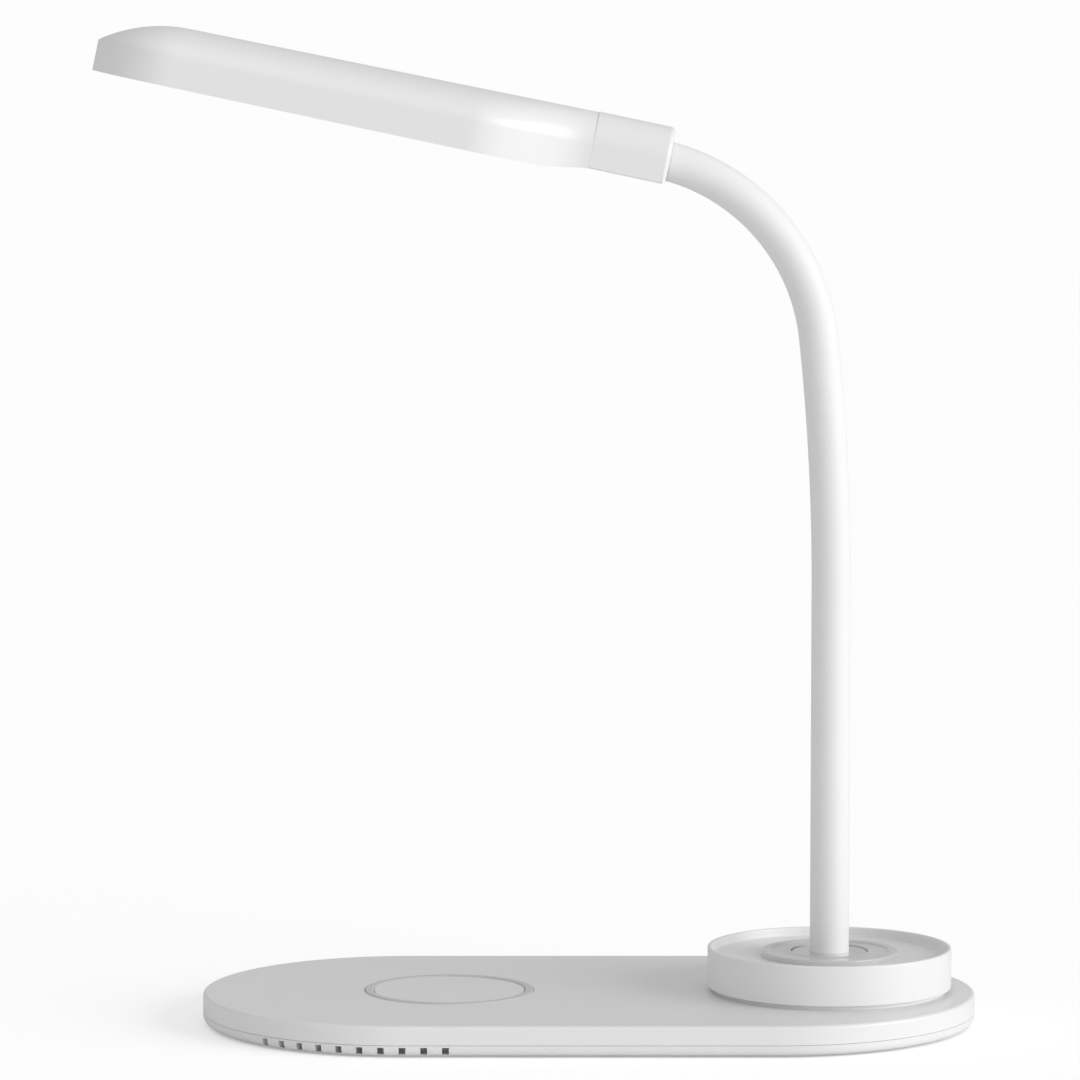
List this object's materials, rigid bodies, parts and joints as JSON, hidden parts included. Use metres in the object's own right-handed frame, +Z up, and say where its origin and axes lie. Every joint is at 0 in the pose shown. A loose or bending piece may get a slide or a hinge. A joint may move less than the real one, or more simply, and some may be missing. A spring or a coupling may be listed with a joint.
{
  "type": "desk lamp with charging base",
  "caption": "Desk lamp: slim domed light head on a bendable gooseneck, raised round touch dish, thin racetrack-shaped base with a charging pad.",
  "frame": {"origin": "middle of the base, on the face that it rests on", "axes": "+Z up, +X from the charging pad towards the neck, +Y towards the back, where the power inlet is"},
  "size_m": [0.2382, 0.11, 0.2699],
  "materials": {
    "white_gloss": "glossy moulded plastic",
    "white_satin": "satin moulded plastic",
    "grey_rubber": "matte silicone rubber",
    "dark_rubber": "matte rubber",
    "touch_grey": "polished touch surface",
    "white_silicone": "smooth satin silicone",
    "steel": "bright plated steel",
    "polished_trim": "polished trim",
    "aluminium": "satin aluminium",
    "circuit_board": "solder mask",
    "white_board": "white solder mask",
    "black_parts": "moulded epoxy",
    "copper": "enamelled copper wire",
    "diffuser": "opal acrylic",
    "lamp_yellow": "phosphor"
  },
  "bodies": {
    "base": {"base_top_cover": "white_gloss", "base_bottom_cover": "white_satin", "non_slip_pad": "grey_rubber", "cover_screws": "steel", "ballast_plate_left": "steel", "ballast_plate_right": "steel", "ferrite_sheet": "black_parts", "charging_coil": "copper", "grip_ring": "grey_rubber", "main_board": "circuit_board", "main_board_parts": "black_parts", "power_inlet": "steel", "turret_shell": "white_gloss", "touch_ring": "touch_grey", "touch_board": "circuit_board", "turret_screws": "steel", "neck_ferrule": "polished_trim", "neck_anchor": "steel", "neck_washer": "steel", "neck_nut": "steel", "neck_sleeve_0": "white_silicone", "neck_core_0": "steel"},
    "link_1": {"neck_sleeve_1": "white_silicone", "neck_core_1": "steel"},
    "link_2": {"neck_sleeve_2": "white_silicone", "neck_core_2": "steel"},
    "link_3": {"neck_sleeve_3": "white_silicone", "neck_core_3": "steel"},
    "link_4": {"neck_sleeve_4": "white_silicone", "neck_core_4": "steel"},
    "link_5": {"neck_sleeve_5": "white_silicone", "neck_core_5": "steel"},
    "link_6": {"neck_sleeve_6": "white_silicone", "neck_core_6": "steel"},
    "link_7": {"neck_sleeve_7": "white_silicone", "neck_core_7": "steel"},
    "link_8": {"neck_sleeve_8": "white_silicone", "neck_core_8": "steel"},
    "link_9": {"neck_sleeve_9": "white_silicone", "neck_core_9": "steel"},
    "head": {"neck_sleeve_10": "white_silicone", "neck_core_10": "steel", "head_shell": "white_gloss", "head_collar": "white_gloss", "collar_bush": "dark_rubber", "neck_clamp": "aluminium", "clamp_screws": "steel", "head_frame": "white_satin", "diffuser": "diffuser", "lamp_board": "white_board", "lamps": "lamp_yellow", "heat_spreader": "aluminium", "head_screws": "steel"}
  },
  "joints": [
    {"name": "neck_lean_1", "type": "hinge", "parent": "base", "child": "link_1", "pos_m": [0.0655, 0, 0.031], "axis": [0, -1, 0], "range_deg": [-12, 10]},
    {"name": "neck_sway_1", "type": "hinge", "parent": "link_1", "child": "link_2", "pos_m": [0.0655, 0, 0.0529], "axis": [1, 0, 0], "range_deg": [-12, 12]},
    {"name": "neck_lean_2", "type": "hinge", "parent": "link_2", "child": "link_3", "pos_m": [0.0655, 0, 0.0748], "axis": [0, -1, 0], "range_deg": [-12, 10]},
    {"name": "neck_sway_2", "type": "hinge", "parent": "link_3", "child": "link_4", "pos_m": [0.0655, 0, 0.0967], "axis": [1, 0, 0], "range_deg": [-12, 12]},
    {"name": "neck_lean_3", "type": "hinge", "parent": "link_4", "child": "link_5", "pos_m": [0.0655, 0, 0.1186], "axis": [0, -1, 0], "range_deg": [-12, 10]},
    {"name": "neck_sway_3", "type": "hinge", "parent": "link_5", "child": "link_6", "pos_m": [0.06508, 0, 0.14132], "axis": [0.9993, 0, 0.0366], "range_deg": [-12, 12]},
    {"name": "neck_curl_1", "type": "hinge", "parent": "link_6", "child": "link_7", "pos_m": [0.06384, 0, 0.16401], "axis": [0, -1, 0], "range_deg": [-15, 9]},
    {"name": "neck_curl_2", "type": "hinge", "parent": "link_7", "child": "link_8", "pos_m": [0.06176, 0, 0.18664], "axis": [0, -1, 0], "range_deg": [-15, 9]},
    {"name": "neck_curl_3", "type": "hinge", "parent": "link_8", "child": "link_9", "pos_m": [0.05533, 0, 0.20701], "axis": [0, -1, 0], "range_deg": [-15, 9]},
    {"name": "neck_curl_4", "type": "hinge", "parent": "link_9", "child": "head", "pos_m": [0.04163, 0, 0.2234], "axis": [0, -1, 0], "range_deg": [-15, 9]}
  ],
  "couplings": [
    {"joint": "neck_lean_2", "follows": "neck_lean_1", "ratio": 1},
    {"joint": "neck_sway_2", "follows": "neck_sway_1", "ratio": 1},
    {"joint": "neck_lean_3", "follows": "neck_lean_1", "ratio": 1},
    {"joint": "neck_sway_3", "follows": "neck_sway_1", "ratio": 1},
    {"joint": "neck_curl_2", "follows": "neck_curl_1", "ratio": 1},
    {"joint": "neck_curl_3", "follows": "neck_curl_1", "ratio": 1},
    {"joint": "neck_curl_4", "follows": "neck_curl_1", "ratio": 1}
  ]
}
